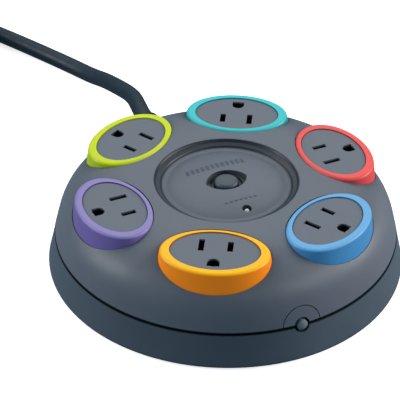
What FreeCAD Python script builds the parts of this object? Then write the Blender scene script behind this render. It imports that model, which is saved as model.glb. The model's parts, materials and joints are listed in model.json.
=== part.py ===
import FreeCAD, Part

import math
import os

# Round table-top power strip with six sockets, in millimetres.
# The origin is on the floor under the middle of the casing, +Z is up, the cord leaves towards +Y and
# the reset button faces -Y. Sockets stand at azimuths 0, 60, 120, 180, 240 and 300 degrees.

V = FreeCAD.Vector
Z_AXIS = V(0, 0, 1)
ORIGIN = V(0, 0, 0)

# Casing
BASE_BOTTOM = 1.0
FACE_LEVEL = 43.8
BASE_FOOT_R = 82.6
BASE_TOP_R = 79.3
FOOT_EDGE_R = 1.4
WALL = 2.4
SEAM_LOW = 17.0
SEAM_HIGH = 18.0
SEAM_FLOOR_R = 78.1
COVER_EDGE_R = 79.05
FLAT_TOP_R = 40.2
DOME_PULLS = ((76.2, 43.8), (76.3, 28.5))
INNER_PULLS = ((74.5, 41.4), (74.3, 27.4))
COVER_INNER_R = 76.62
TONGUE_OUTER_R = 75.6
TONGUE_INNER_R = 73.6
TONGUE_TOP = 20.0

# Dish in the middle of the cover
DISH_RIM_R = 32.3
DISH_RIM_SOFT = 1.3
DISH_FLOOR_R = 29.6
DISH_DEPTH = 3.3
DISH_CROWN = 0.2

# Sockets
SOCKETS = (("coral", 0), ("teal", 60), ("lime", 120), ("purple", 180), ("orange", 240), ("blue", 300))
SOCKET_R = 55.5
RING_HALF_TAN = 24.0
RING_HALF_RAD = 16.3
RIM_HALF_TAN = 20.0
RIM_HALF_RAD = 13.6
RIM_SHIFT = -0.6
RIM_TOP = 44.3
RING_BOTTOM = 31.0
RING_WALL = 1.8
RING_LIP_LOW = 42.3
RING_ROUND = 1.5
RING_FLARE_TAN = 2.2
RING_FLARE_RAD = 0.9
RING_FLARE_LOW = 34.5
POCKET_GAP = 0.3
POCKET_LOW = 26.0
FACE_GAP = 0.1
FACE_FLANGE_LOW = 39.5
FACE_FLANGE_HIGH = 42.2

# NEMA 5-15 contact positions
BLADE_PITCH = 12.7
BLADE_R = 50.83
GROUND_R = 62.7
SLOT_WIDTH = 2.6
NEUTRAL_SLOT = 8.2
LINE_SLOT = 6.9
GROUND_HOLE_W = 5.6
GROUND_HOLE_L = 5.4

# Contacts under the faces
CARRIER = (42.5, 68.5, 22.0, 24.5)
BUS_LOW = 24.5
BUS_HIGH = 26.0
LINE_BUS = (44.0, 47.5)
NEUTRAL_BUS = (56.5, 59.3)
GROUND_BUS = (65.6, 67.6)
CLIP_TOP = 38.0
CLIP_SHEET = 0.6
CLIP_GAP = 1.6
CLIP_LENGTH = 7.0
GROUND_TUBE = (2.5, 3.1)

CARRIER_POSTS = (0, 120, 240)
CARRIER_POST_R = 51.5
BREAKER_TAB_AZIMUTH = -96.5
SURGE_TAB_AZIMUTH = -63.0
SURGE_NEUTRAL_AZIMUTH = -78.0

# Push button and switch
CAP_R = 5.5
CAP_TOP = 43.4
CAP_FLANGE_R = 6.8
CAP_FLANGE = (36.0, 37.2)
PIT_R = 7.6
PIT_FLOOR = 40.2
PIT_BOSS_R = 9.5
PIT_BOSS_LOW = 37.5
SCOOP_HALF_X = 10.2
SCOOP_DEPTH = 2.4
SCOOP_FLARE = 0.7
STEM_R = 2.5
STEM_LOW = 25.5
SWITCH_HALF = 11.0
SWITCH = (14.0, 32.0)
SWITCH_WALL = 1.5
RUN_GAP = 0.3

# Indicator
LED_Y = -21.9
LED_HOLE_R = 2.2
PIPE_R = 1.9
PIPE_TIP_R = 1.3

# Reset button and breaker, on a level axis through the seam
SEAM_MID = 17.5
RESET_R = 2.5
RESET_HOLE_R = 3.6
RESET_FACE_Y = -80.2
ESCUTCHEON_R = 8.7
ESCUTCHEON_HOLE_R = 9.1
BREAKER_Y = (-72.0, -44.0)
BREAKER_HALF_X = 7.0
BREAKER_Z = (9.0, 21.5)

# Casing screws and feet
BOSS_AZIMUTHS = (30, 150, 210, 330)
BOSS_AT_R = 71.7
BASE_BOSS_R = 3.9
COVER_BOSS_R = 3.0
BOSS_SPLIT = 20.0
FOOT_AZIMUTHS = (45, 135, 225, 315)
FOOT_AT_R = 66.0
FOOT_R = 5.0

# Surge board
BOARD = (-9.0, 50.0, -38.0, -16.0, 6.5, 8.1)

# Mains cord
CORD_D = 8.4
CORD_R = CORD_D / 2
CORD_AXIS_Z = 19.5
RELIEF_NECK_R = 7.4
RELIEF_FLANGE_R = 8.6
RELIEF_RIBS_Y = 81.7
RELIEF_FLANGE_Y = (71.0, 72.8)
RELIEF_TIP_R = 5.3
RELIEF_TIP_Y = 94.0
JACKET_END_Y = 57.0
CLAMP_Y = 62.4
CLAMP_HALF_Y = 2.4
CLAMP_SEAT = 15.8
# Centre line of the cord that lies free, from the strain relief to the coil
CORD_ROUTE = (
    (0.0, 94.0, 19.5),
    (0.0, 100.0, 19.5),
    (1.0, 107.5, 19.4),
    (2.4, 115.5, 18.7),
    (2.7, 123.5, 17.4),
    (1.8, 132.0, 15.6),
    (0.6, 142.1, 13.2),
    (-0.4, 152.4, 10.2),
    (-1.9, 162.0, 7.0),
    (-4.0, 171.5, 5.0),
    (-8.2, 182.5, 4.3),
    (-15.5, 197.0, 4.3),
    (-23.5, 212.5, 4.3),
    (-33.8, 231.5, 4.3),
    (-45.5, 250.0, 4.3),
    (-60.0, 268.0, 4.3),
)
COIL_CENTRE = (-102.9, 233.5)
COIL_MEAN_R = 46.7
COIL_COLUMNS = 3
COIL_PART_TURN = 0.434
COIL_LAYERS = 2
TIE_AZIMUTH = 100

# Plug
PLUG_HEADING = 285
PLUG_AXIS_Z = 12.6
TAIL_LENGTH = 44.0
PLUG_TAIL = 22.0
PLUG_LENGTH = 36.0

made = {}


def keep(name, shape):
    """Writes one node's solids to its own file, after checking that they are closed."""
    solids = shape.Solids
    if not solids:
        raise ValueError(name + " has no solid")
    for solid in solids:
        if not solid.isValid() or solid.Volume < 0.5:
            raise ValueError(name + " has a bad solid")
    made[name] = solids[0] if len(solids) == 1 else Part.makeCompound(solids)
    made[name].exportStep("parts/" + name + ".step")


def box(x, y, z):
    """A block between pairs of limits along X, Y and Z."""
    return Part.makeBox(x[1] - x[0], y[1] - y[0], z[1] - z[0], V(x[0], y[0], z[0]))


def rod(radius, low, high, x=0.0, y=0.0):
    """An upright cylinder."""
    return Part.makeCylinder(radius, high - low, V(x, y, low))


def level_rod(radius, start, end, x=0.0, z=SEAM_MID):
    """A cylinder that lies along Y."""
    return Part.makeCylinder(radius, end - start, V(x, start, z), V(0, 1, 0))


def ring_plate(inner, outer, low, high):
    """A flat washer round the Z axis."""
    return rod(outer, low, high).cut(rod(inner, low - 1, high + 1))


def turned(shape, azimuth):
    """A copy turned about the Z axis."""
    copy = shape.copy()
    copy.rotate(ORIGIN, Z_AXIS, azimuth)
    return copy


def joined(shapes):
    """One shape from several that touch."""
    first, *rest = shapes
    return first.multiFuse(rest).removeSplitter() if rest else first


def cut_all(shape, tools):
    """The shape with every tool taken away."""
    return shape.cut(Part.makeCompound(tools))


def polar(radius, azimuth, z=0.0):
    """A point from its radius and azimuth."""
    angle = math.radians(azimuth)
    return V(radius * math.cos(angle), radius * math.sin(angle), z)


def line(start, end):
    """A straight edge in the XZ plane, from (r, z) pairs."""
    return Part.LineSegment(V(start[0], 0, start[1]), V(end[0], 0, end[1])).toShape()


def curve(points):
    """A Bezier edge in the XZ plane, from (r, z) pairs."""
    bezier = Part.BezierCurve()
    bezier.setPoles([V(r, 0, z) for r, z in points])
    return bezier.toShape()


def bow(start, middle, end):
    """An arc in the XZ plane through three (r, z) pairs."""
    return Part.Arc(*[V(r, 0, z) for r, z in (start, middle, end)]).toShape()


def lathe(edges):
    """A solid turned about Z from a closed chain of edges in the XZ plane."""
    face = Part.Face(Part.Wire(Part.__sortEdges__(edges)))
    return face.revolve(ORIGIN, Z_AXIS, 360)


def lathe_points(points):
    """A solid turned about Z from a closed polygon of (r, z) pairs."""
    corners = list(points) + [points[0]]
    return lathe([line(a, b) for a, b in zip(corners, corners[1:])])


def lathe_level(points, z):
    """A solid turned about a level Y axis at height z, from a closed polygon of (y, r) pairs."""
    corners = [V(0, y, z + r) for y, r in points]
    face = Part.Face(Part.makePolygon(corners + [corners[0]]))
    return face.revolve(V(0, 0, z), V(0, 1, 0), 360)


def oval_wire(half_tan, half_rad, z, shift=0.0):
    """A level ellipse at the azimuth 0 socket, its long axis along the tangent."""
    x = SOCKET_R + shift
    ellipse = Part.Ellipse(V(x, half_tan, z), V(x + half_rad, 0, z), V(x, 0, z))
    return Part.Wire(ellipse.toShape())


def oval(half_tan, half_rad, low, high, shift=0.0):
    """An upright elliptical prism at the azimuth 0 socket."""
    return Part.Face(oval_wire(half_tan, half_rad, low, shift)).extrude(V(0, 0, high - low))


def flared_oval(gap, low, high):
    """The outer shape of a socket ring, grown by a gap: it widens downwards, then drops straight."""
    half_tan, half_rad = RING_HALF_TAN + gap, RING_HALF_RAD + gap
    top = oval_wire(half_tan, half_rad, high)
    wide = oval_wire(half_tan + RING_FLARE_TAN, half_rad + RING_FLARE_RAD, RING_FLARE_LOW)
    skirt = oval(half_tan + RING_FLARE_TAN, half_rad + RING_FLARE_RAD, low, RING_FLARE_LOW)
    return Part.makeLoft([wide, top], True, True).fuse(skirt).removeSplitter()


def route_edges(points, name):
    """Straight runs joined by arcs, each arc as large as its two runs allow."""
    corners = [V(*p) for p in points]
    edges = []
    radii = []
    last = corners[0]
    for before, corner, after in zip(corners, corners[1:], corners[2:]):
        into = (corner - before).normalize()
        out = (after - corner).normalize()
        turn = into.getAngle(out)
        reach = 0.45 * min((corner - before).Length, (after - corner).Length)
        radius = reach / math.tan(turn / 2)
        start = corner - into * reach
        end = corner + out * reach
        bisector = (out - into).normalize()
        centre = corner + bisector * (radius / math.cos(turn / 2))
        middle = centre - bisector * radius
        edges.append(Part.LineSegment(last, start).toShape())
        edges.append(Part.Arc(start, middle, end).toShape())
        radii.append(round(radius, 1))
        last = end
    edges.append(Part.LineSegment(last, corners[-1]).toShape())
    print(name, "bend radii", radii)
    return edges


def tube(points, radius, name):
    """A round solid along a route, with its volume compared with section times length."""
    path = Part.Wire(route_edges(points, name))
    start = V(*points[0])
    heading = V(*points[1]) - start
    section = Part.Face(Part.Wire(Part.makeCircle(radius, start, heading)))
    solid = path.makePipe(section)
    expected = math.pi * radius * radius * path.Length
    print(name, "length", round(path.Length, 1), "volume ratio", round(solid.Volume / expected, 4))
    return solid


def post_tube(start, end, radius):
    """A straight round lead between two points."""
    run = V(*end) - V(*start)
    return Part.makeCylinder(radius, run.Length, V(*start), run)


# Casing ---------------------------------------------------------------------------------------


def dish_edges():
    """The dish from its rim, down the soft wall, and over the crowned floor to the axis."""
    rim_z = FACE_LEVEL
    wall_top = (DISH_RIM_R, rim_z - DISH_RIM_SOFT)
    wall_low = (DISH_FLOOR_R + 0.9, rim_z - DISH_DEPTH + 1.2)
    floor_edge = (DISH_FLOOR_R - 2.6, rim_z - DISH_DEPTH + 0.35)
    crown = (0.0, rim_z - DISH_CROWN)
    halfway = (DISH_FLOOR_R / 2, rim_z - DISH_CROWN - (DISH_DEPTH - DISH_CROWN) / 4)
    return [
        curve(((DISH_RIM_R + 1.6, rim_z), (DISH_RIM_R + 0.3, rim_z), wall_top)),
        line(wall_top, wall_low),
        curve((wall_low, (DISH_FLOOR_R, rim_z - DISH_DEPTH - 0.05), floor_edge)),
        bow(floor_edge, halfway, crown),
    ]


def cover_outer_solid():
    """Everything inside the cover's outer surface, down to its lower edge."""
    edges = [line((DISH_RIM_R + 1.6, FACE_LEVEL), (FLAT_TOP_R, FACE_LEVEL))]
    edges.append(curve(((FLAT_TOP_R, FACE_LEVEL),) + DOME_PULLS + ((COVER_EDGE_R, SEAM_HIGH),)))
    edges.append(line((COVER_EDGE_R, SEAM_HIGH), (0.0, SEAM_HIGH)))
    edges.append(line((0.0, SEAM_HIGH), (0.0, FACE_LEVEL - DISH_CROWN)))
    return lathe(edges + dish_edges())


def cover_inner_solid():
    """The room under the cover, one wall inside its outer surface."""
    ceiling = FACE_LEVEL - WALL
    dish_ceiling = FACE_LEVEL - DISH_DEPTH - WALL
    edges = [
        line((0.0, SEAM_HIGH - 1), (0.0, dish_ceiling)),
        line((0.0, dish_ceiling), (DISH_RIM_R, dish_ceiling)),
        line((DISH_RIM_R, dish_ceiling), (DISH_RIM_R + WALL, ceiling)),
        line((DISH_RIM_R + WALL, ceiling), (FLAT_TOP_R, ceiling)),
        curve(((FLAT_TOP_R, ceiling),) + INNER_PULLS + ((COVER_INNER_R, SEAM_HIGH - 1),)),
        line((COVER_INNER_R, SEAM_HIGH - 1), (0.0, SEAM_HIGH - 1)),
    ]
    return lathe(edges)


def scoop():
    """The eye-shaped finger scoop along X across the push button's pit."""
    bow_r = (SCOOP_HALF_X**2 + PIT_R**2) / (2 * PIT_R)
    offset = bow_r - PIT_R
    top = FACE_LEVEL - DISH_CROWN
    low, high = top - SCOOP_DEPTH, top + 1
    flare = SCOOP_FLARE * (high - low) / SCOOP_DEPTH

    def cone(y):
        return Part.makeCone(bow_r - SCOOP_FLARE, bow_r - SCOOP_FLARE + flare, high - low, V(0, y, low))

    return cone(offset).common(cone(-offset))


def cover_shape(outer, inner):
    """The upper shell: dome, dish, socket pockets, button pit and screw bosses."""
    bosses = []
    pilots = []
    for azimuth in BOSS_AZIMUTHS:
        foot = polar(BOSS_AT_R, azimuth)
        bosses.append(rod(COVER_BOSS_R, BOSS_SPLIT + 0.2, FACE_LEVEL, foot.x, foot.y).common(outer))
        pilots.append(rod(1.6, BOSS_SPLIT - 1, 29.5, foot.x, foot.y))
    pit_boss = rod(PIT_BOSS_R, PIT_BOSS_LOW, FACE_LEVEL - DISH_DEPTH)
    lamp_boss = rod(4.0, PIT_BOSS_LOW, FACE_LEVEL - DISH_DEPTH, y=LED_Y)
    shell = joined([outer.cut(inner), pit_boss, lamp_boss] + bosses)
    pocket = flared_oval(POCKET_GAP, POCKET_LOW, RIM_TOP)
    tools = pilots + [turned(pocket, azimuth) for _, azimuth in SOCKETS]
    tools.append(rod(PIT_R, PIT_FLOOR, 50.0))
    tools.append(rod(CAP_R + RUN_GAP, 30.0, 50.0))
    tools.append(scoop())
    tools.append(rod(LED_HOLE_R, 30.0, 50.0, y=LED_Y))
    tools.append(level_rod(ESCUTCHEON_HOLE_R, -90.0, -70.0))
    tools.append(level_rod(RELIEF_NECK_R + 0.1, 70.0, 90.0, z=CORD_AXIS_Z))
    return cut_all(shell, tools)


def escutcheon_shape(outer, inner):
    """The half-moon insert above the reset button, with a wider lip behind the cover's wall."""
    upper = box((-20, 20), (-90, -60), (SEAM_HIGH, 40))
    front = outer.cut(inner).common(level_rod(ESCUTCHEON_R, -90.0, -70.0))
    lip_outer = inner.common(level_rod(10.5, -90.0, -70.0))
    smaller = inner.copy()
    smaller.translate(V(0, 1.3, 0))
    lip = lip_outer.cut(smaller).common(box((-12, 12), (-80, -66), (TONGUE_TOP + 0.2, 40)))
    lip.translate(V(0, 0.15, 0))
    bridge = level_rod(ESCUTCHEON_R, -77.6, -75.4).common(inner)
    bridge = bridge.common(box((-12, 12), (-80, -75.4), (TONGUE_TOP + 0.2, 40)))
    whole = joined([front.common(upper), lip, bridge])
    return whole.cut(level_rod(RESET_HOLE_R, -90.0, -60.0))


def base_shape():
    """The lower tray: floor, flared wall, tongue, screw bosses, feet pockets and supports."""
    low = BASE_BOTTOM
    floor_top = low + WALL
    outer_edge = (BASE_FOOT_R, low + FOOT_EDGE_R)
    edges = [
        line((0.0, low), (BASE_FOOT_R - FOOT_EDGE_R, low)),
        curve(((BASE_FOOT_R - FOOT_EDGE_R, low), (BASE_FOOT_R, low), outer_edge)),
        curve((outer_edge, (81.0, 8.5), (BASE_TOP_R, SEAM_LOW))),
        line((BASE_TOP_R, SEAM_LOW), (SEAM_FLOOR_R, SEAM_LOW)),
        line((SEAM_FLOOR_R, SEAM_LOW), (SEAM_FLOOR_R, SEAM_HIGH - 0.1)),
        line((SEAM_FLOOR_R, SEAM_HIGH - 0.1), (TONGUE_OUTER_R, SEAM_HIGH - 0.1)),
        line((TONGUE_OUTER_R, SEAM_HIGH - 0.1), (TONGUE_OUTER_R, TONGUE_TOP)),
        line((TONGUE_OUTER_R, TONGUE_TOP), (TONGUE_INNER_R, TONGUE_TOP)),
        line((TONGUE_INNER_R, TONGUE_TOP), (TONGUE_INNER_R, SEAM_LOW - 3)),
        line((TONGUE_INNER_R, SEAM_LOW - 3), (78.6, floor_top)),
        line((78.6, floor_top), (0.0, floor_top)),
        line((0.0, floor_top), (0.0, low)),
    ]
    solids = [lathe(edges)]
    tools = []
    for azimuth in BOSS_AZIMUTHS:
        foot = polar(BOSS_AT_R, azimuth)
        solids.append(rod(BASE_BOSS_R, low, BOSS_SPLIT, foot.x, foot.y))
        tools.append(rod(1.8, 0.0, 25.0, foot.x, foot.y))
        tools.append(rod(3.0, 0.0, 4.6, foot.x, foot.y))
    for azimuth in FOOT_AZIMUTHS:
        foot = polar(FOOT_AT_R, azimuth)
        solids.append(rod(FOOT_R + 1.6, low, floor_top + 1.0, foot.x, foot.y))
        tools.append(rod(FOOT_R + 0.05, 0.0, low + 1.4, foot.x, foot.y))
    for azimuth in CARRIER_POSTS:
        foot = polar(CARRIER_POST_R, azimuth)
        solids.append(rod(3.2, low, CARRIER[2], foot.x, foot.y))
        tools.append(rod(1.2, 12.0, 25.0, foot.x, foot.y))
    solids.append(box((-8, 8), (-8, 8), (low, SWITCH[0])))
    solids.append(box((-5.5, 5.5), (-68, -48), (low, BREAKER_Z[0])))
    for x in (BOARD[0] + 3, BOARD[1] - 3):
        solids.append(rod(2.4, low, BOARD[4], x, (BOARD[2] + BOARD[3]) / 2))
    for x in (-11.0, 11.0):
        solids.append(rod(3.2, low, CLAMP_SEAT, x, CLAMP_Y))
        tools.append(rod(1.2, 6.0, CLAMP_SEAT + 1, x, CLAMP_Y))
    solids.append(box((-6, 6), (CLAMP_Y - CLAMP_HALF_Y, CLAMP_Y + CLAMP_HALF_Y), (low, CLAMP_SEAT)))
    tools.append(level_rod(CORD_R + 0.05, 50.0, 78.0, z=CORD_AXIS_Z))
    tools.append(level_rod(RESET_HOLE_R, -90.0, -73.0))
    tools.append(level_rod(RELIEF_NECK_R + 0.1, 72.0, 90.0, z=CORD_AXIS_Z))
    tools.append(box((-7.5, 7.5), (72.0, 90.0), (CORD_AXIS_Z, 25.0)))
    return cut_all(joined(solids), tools)


def fasteners():
    """Casing screws, carrier screws and clamp screws, each kind in one node."""
    casing = []
    for azimuth in BOSS_AZIMUTHS:
        foot = polar(BOSS_AT_R, azimuth)
        shank = rod(1.55, 4.4, 28.0, foot.x, foot.y)
        casing.append(pan_head(foot.x, foot.y, 2.4, 4.6, 2.8, True).fuse(shank).removeSplitter())
    keep("housing_screws", Part.makeCompound(casing))
    carrier = []
    for azimuth in CARRIER_POSTS:
        foot = polar(CARRIER_POST_R, azimuth)
        shank = rod(1.15, 13.0, CARRIER[3], foot.x, foot.y)
        head = pan_head(foot.x, foot.y, CARRIER[3], CARRIER[3] + 1.6, 2.2, False)
        carrier.append(head.fuse(shank).removeSplitter())
    keep("carrier_screws", Part.makeCompound(carrier))
    clamp = []
    for x in (-11.0, 11.0):
        shank = rod(1.15, 7.0, CLAMP_SEAT + 2.2, x, CLAMP_Y)
        head = pan_head(x, CLAMP_Y, CLAMP_SEAT + 2.2, CLAMP_SEAT + 3.9, 2.4, False)
        clamp.append(head.fuse(shank).removeSplitter())
    keep("clamp_screws", Part.makeCompound(clamp))


def pan_head(x, y, low, high, radius, downwards):
    """A rounded screw head with a cross recess."""
    head = rod(radius, low, high, x, y)
    edge_z = low if downwards else high
    rim = [e for e in head.Edges if abs(e.BoundBox.ZMin - edge_z) < 1e-6 and e.BoundBox.ZLength < 1e-6]
    head = head.makeFillet(0.5, rim)
    depth = (low - 0.1, low + 0.9) if downwards else (high - 0.9, high + 0.1)
    slot_a = box((x - radius * 0.55, x + radius * 0.55), (y - 0.3, y + 0.3), depth)
    slot_b = box((x - 0.3, x + 0.3), (y - radius * 0.55, y + radius * 0.55), depth)
    return head.cut(slot_a.fuse(slot_b))


def feet():
    """Four rubber feet pressed into the tray."""
    pads = []
    for azimuth in FOOT_AZIMUTHS:
        foot = polar(FOOT_AT_R, azimuth)
        pad = rod(FOOT_R, 0.0, BASE_BOTTOM + 1.35, foot.x, foot.y)
        edge = [e for e in pad.Edges if e.BoundBox.ZMax < 1e-6]
        pads.append(pad.makeFillet(0.4, edge))
    keep("rubber_feet", Part.makeCompound(pads))


# Sockets --------------------------------------------------------------------------------------


def socket_ring():
    """A coloured ring at azimuth 0: a deep skirt with a rounded shoulder and an inner lip."""
    outer = flared_oval(0.0, RING_BOTTOM, RIM_TOP)
    top = [e for e in outer.Edges if e.BoundBox.ZMin > RIM_TOP - 1e-3]
    outer = outer.makeFillet(RING_ROUND, top)
    mouth = oval(RIM_HALF_TAN, RIM_HALF_RAD, RING_LIP_LOW - 0.01, RIM_TOP + 1, RIM_SHIFT)
    bore = oval(RING_HALF_TAN - RING_WALL, RING_HALF_RAD - RING_WALL, RING_BOTTOM - 1, RING_LIP_LOW)
    return outer.cut(mouth).cut(bore)


def ground_hole(low, high):
    """The D-shaped ground opening at azimuth 0, its arch towards the axis and its flat outwards."""
    half = GROUND_HOLE_W / 2
    flat_x = GROUND_R + GROUND_HOLE_L / 2
    arch_x = flat_x - GROUND_HOLE_L + half
    block = box((arch_x, flat_x), (-half, half), (low, high))
    return block.fuse(rod(half, low, high, arch_x, 0.0)).removeSplitter()


def slot(length, side, low, high):
    """A blade slot at azimuth 0, on the given side of the radial centre line."""
    y = side * BLADE_PITCH / 2
    x = (BLADE_R - length / 2, BLADE_R + length / 2)
    return box(x, (y - SLOT_WIDTH / 2, y + SLOT_WIDTH / 2), (low, high))


def socket_face():
    """A dark socket face at azimuth 0, held from below by the ring's lip."""
    plate = oval(RIM_HALF_TAN - FACE_GAP, RIM_HALF_RAD - FACE_GAP, 41.0, FACE_LEVEL, RIM_SHIFT)
    top = [e for e in plate.Edges if e.BoundBox.ZMin > FACE_LEVEL - 1e-3]
    plate = plate.makeFillet(0.3, top)
    reach = RING_WALL + FACE_GAP
    flange = oval(RING_HALF_TAN - reach, RING_HALF_RAD - reach, FACE_FLANGE_LOW, FACE_FLANGE_HIGH)
    body = plate.fuse(flange).removeSplitter()
    low, high = FACE_FLANGE_LOW - 1, FACE_LEVEL + 1
    holes = [slot(NEUTRAL_SLOT, -1, low, high), slot(LINE_SLOT, 1, low, high), ground_hole(low, high)]
    return cut_all(body, holes)


def sockets():
    """Six rings and six faces, each in a node of its own."""
    ring = socket_ring()
    face = socket_face()
    for name, azimuth in SOCKETS:
        keep("ring_" + name, turned(ring, azimuth))
        keep("socket_face_" + name, turned(face, azimuth))


# Contacts -------------------------------------------------------------------------------------


def blade_clip(side, inner_r, outer_r):
    """Two leaves for one blade at azimuth 0, on a tab between two radii."""
    y = side * BLADE_PITCH / 2
    half = CLIP_GAP / 2
    x = (BLADE_R - CLIP_LENGTH / 2, BLADE_R + CLIP_LENGTH / 2)
    leaves = [
        box(x, (y + half, y + half + CLIP_SHEET), (BUS_LOW, CLIP_TOP)),
        box(x, (y - half - CLIP_SHEET, y - half), (BUS_LOW, CLIP_TOP)),
    ]
    tab = box((inner_r, outer_r), (y - 2.2, y + 2.2), (BUS_LOW, BUS_HIGH))
    return joined([tab] + leaves)


def bus_bar(radii, clip, extra=()):
    """A flat ring with a clip under every socket."""
    ring = ring_plate(radii[0], radii[1], BUS_LOW, BUS_HIGH)
    clips = [turned(clip, azimuth) for _, azimuth in SOCKETS]
    return joined([ring] + clips + list(extra))


def contacts():
    """The line, neutral and ground buses and the carrier that holds them."""
    line_tab = turned(box((39.3, 45.0), (-1.6, 1.6), (BUS_LOW, BUS_HIGH)), BREAKER_TAB_AZIMUTH)
    surge_tab = turned(box((39.3, 45.0), (-1.6, 1.6), (BUS_LOW, BUS_HIGH)), SURGE_TAB_AZIMUTH)
    keep("line_bus", bus_bar(LINE_BUS, blade_clip(1, 46.0, 54.6), (line_tab, surge_tab)))
    keep("neutral_bus", bus_bar(NEUTRAL_BUS, blade_clip(-1, 48.2, 57.2)))
    tube_low, tube_high = GROUND_TUBE
    sleeve = rod(tube_high, BUS_LOW, CLIP_TOP, GROUND_R, 0.0)
    arm = box((GROUND_R, GROUND_BUS[0] + 0.5), (-2.0, 2.0), (BUS_LOW, BUS_HIGH))
    ground_clip = sleeve.fuse(arm).removeSplitter()
    ground_clip = ground_clip.cut(rod(tube_low, BUS_HIGH, CLIP_TOP + 1, GROUND_R, 0.0))
    ground_clip = ground_clip.cut(box((56.0, GROUND_R), (-0.5, 0.5), (BUS_HIGH, CLIP_TOP + 1)))
    keep("ground_bus", bus_bar(GROUND_BUS, ground_clip))
    carrier = ring_plate(*CARRIER)
    screw_holes = []
    for azimuth in CARRIER_POSTS:
        foot = polar(CARRIER_POST_R, azimuth)
        screw_holes.append(rod(1.3, 20.0, 26.0, foot.x, foot.y))
    notch = box((-7, 7), (52, 70), (20, 26))
    keep("contact_carrier", cut_all(carrier, screw_holes + [notch]))


# Switch, indicator, breaker -------------------------------------------------------------------


def spring(mean_r, wire_r, low, high, turns):
    """A coil spring round the button's stem."""
    helix = Part.makeHelix((high - low) / turns, high - low, mean_r)
    helix.translate(V(0, 0, low))
    section = Part.Wire(Part.makeCircle(wire_r, V(mean_r, 0, low), V(0, 1, 0)))
    return Part.Wire(helix.Edges).makePipeShell([section], True, False)


def push_switch():
    """The push button, its spring, and the switch under it with its bridge and terminals."""
    cap = rod(CAP_R, CAP_FLANGE[0], CAP_TOP)
    rim = [e for e in cap.Edges if e.BoundBox.ZMin > CAP_TOP - 1e-3]
    cap = cap.makeFillet(1.4, rim)
    stem = rod(STEM_R, STEM_LOW, CAP_FLANGE[0])
    keep("power_button", joined([cap, rod(CAP_FLANGE_R, *CAP_FLANGE), stem]))
    keep("button_spring", spring(4.2, 0.4, SWITCH[1] + 0.45, CAP_FLANGE[0] - 0.45, 2.5))
    half = SWITCH_HALF
    inner = half - SWITCH_WALL
    body = box((-half, half), (-half, half), SWITCH)
    room = box((-inner, inner), (-inner, inner), (SWITCH[0] + SWITCH_WALL, SWITCH[1] - SWITCH_WALL))
    stem_hole = rod(STEM_R + RUN_GAP, SWITCH[0] + 5, SWITCH[1] + 1)
    terminal_cuts = [box((-3.0, 3.0), (-12, -9), (17, 19)), box((-3.0, 3.0), (9, 12), (17, 19))]
    keep("switch_body", cut_all(body, [room, stem_hole] + terminal_cuts))
    keep("contact_bridge", box((-3, 3), (-7.5, 7.5), (STEM_LOW - 1.2, STEM_LOW)))
    terminals = []
    for side in (-1, 1):
        blade = box((-3.0, 3.0), tuple(sorted((side * 5.5, side * 17.0))), (17.0, 18.2))
        pad = rod(1.4, 18.2, 21.2, 0.0, side * 6.9)
        terminals.append(blade.fuse(pad).removeSplitter())
    keep("switch_terminals", Part.makeCompound(terminals))


def indicator():
    """The indicator lamp on the surge board and the light pipe up to the dish."""
    lamp_low = BOARD[5]
    lamp = rod(1.5, lamp_low, lamp_low + 3.2, y=LED_Y).fuse(rod(1.9, lamp_low, lamp_low + 0.9, y=LED_Y))
    keep("status_led", lamp.removeSplitter())
    pipe = rod(PIPE_R, lamp_low + 3.6, 39.4, y=LED_Y)
    tip = Part.makeSphere(PIPE_TIP_R, V(0, LED_Y, 40.0)).common(rod(PIPE_TIP_R, 39.0, 43.0, y=LED_Y))
    tip = tip.fuse(rod(PIPE_TIP_R, 39.0, 40.0, y=LED_Y))
    collar = rod(3.2, 36.2, PIT_BOSS_LOW, y=LED_Y)
    keep("light_pipe", joined([pipe, tip, collar]))


def breaker():
    """The thermal breaker, its terminals and the reset button that pops out when it trips."""
    half = BREAKER_HALF_X
    body = box((-half, half), BREAKER_Y, BREAKER_Z)
    room = box((-half + 1.2, half - 1.2), (BREAKER_Y[0] + 1.2, BREAKER_Y[1] - 1.2), (10.2, 20.3))
    bore = level_rod(RESET_R - 0.1 + RUN_GAP, BREAKER_Y[0] - 1, BREAKER_Y[0] + 3)
    keep("breaker_body", cut_all(body, [room, bore]))
    terminals = []
    for x in (-4.5, 4.5):
        terminals.append(box((x - 1.6, x + 1.6), (BREAKER_Y[1], BREAKER_Y[1] + 5.2), (13.0, 14.2)))
    keep("breaker_terminals", Part.makeCompound(terminals))
    shaft = level_rod(RESET_R - 0.1, RESET_FACE_Y + 1.0, -62.0)
    head_ball = Part.makeSphere(4.2, V(0, RESET_FACE_Y + 4.2, SEAM_MID))
    head = head_ball.common(level_rod(RESET_R, RESET_FACE_Y - 1, RESET_FACE_Y + 4))
    flange = level_rod(RESET_R + 0.3, -66.0, -64.0)
    keep("reset_button", joined([shaft, head, flange]))


# Surge board ----------------------------------------------------------------------------------


def surge_board():
    """The protection board in the tray, with its parts standing on it."""
    keep("surge_board", box(BOARD[0:2], BOARD[2:4], BOARD[4:6]))
    top = BOARD[5]
    discs = []
    for x in (17.0, 26.0, 35.0):
        disc = Part.makeCylinder(6.0, 4.0, V(x - 2, -23.5, top + 7.2), V(1, 0, 0))
        legs = [rod(0.4, top, top + 2.5, x, -23.5 + dy) for dy in (-2.5, 2.5)]
        discs.append(joined([disc.makeFillet(1.2, disc.Edges)] + legs))
    keep("varistors", Part.makeCompound(discs))
    block = box((23.0, 41.0), (-37.0, -30.5), (top, top + 11.5))
    keep("filter_capacitor", block.makeFillet(0.6, block.Edges))
    fuse = Part.makeCylinder(1.8, 7.5, V(6.8, -30.5, top + 3.0), V(1, 0, 0))
    legs = [rod(0.4, top, top + 2.5, x, -30.5) for x in (8.0, 13.0)]
    keep("thermal_fuse", joined([fuse.makeFillet(0.5, fuse.Edges)] + legs))


# Cord inside the casing -----------------------------------------------------------------------


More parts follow.
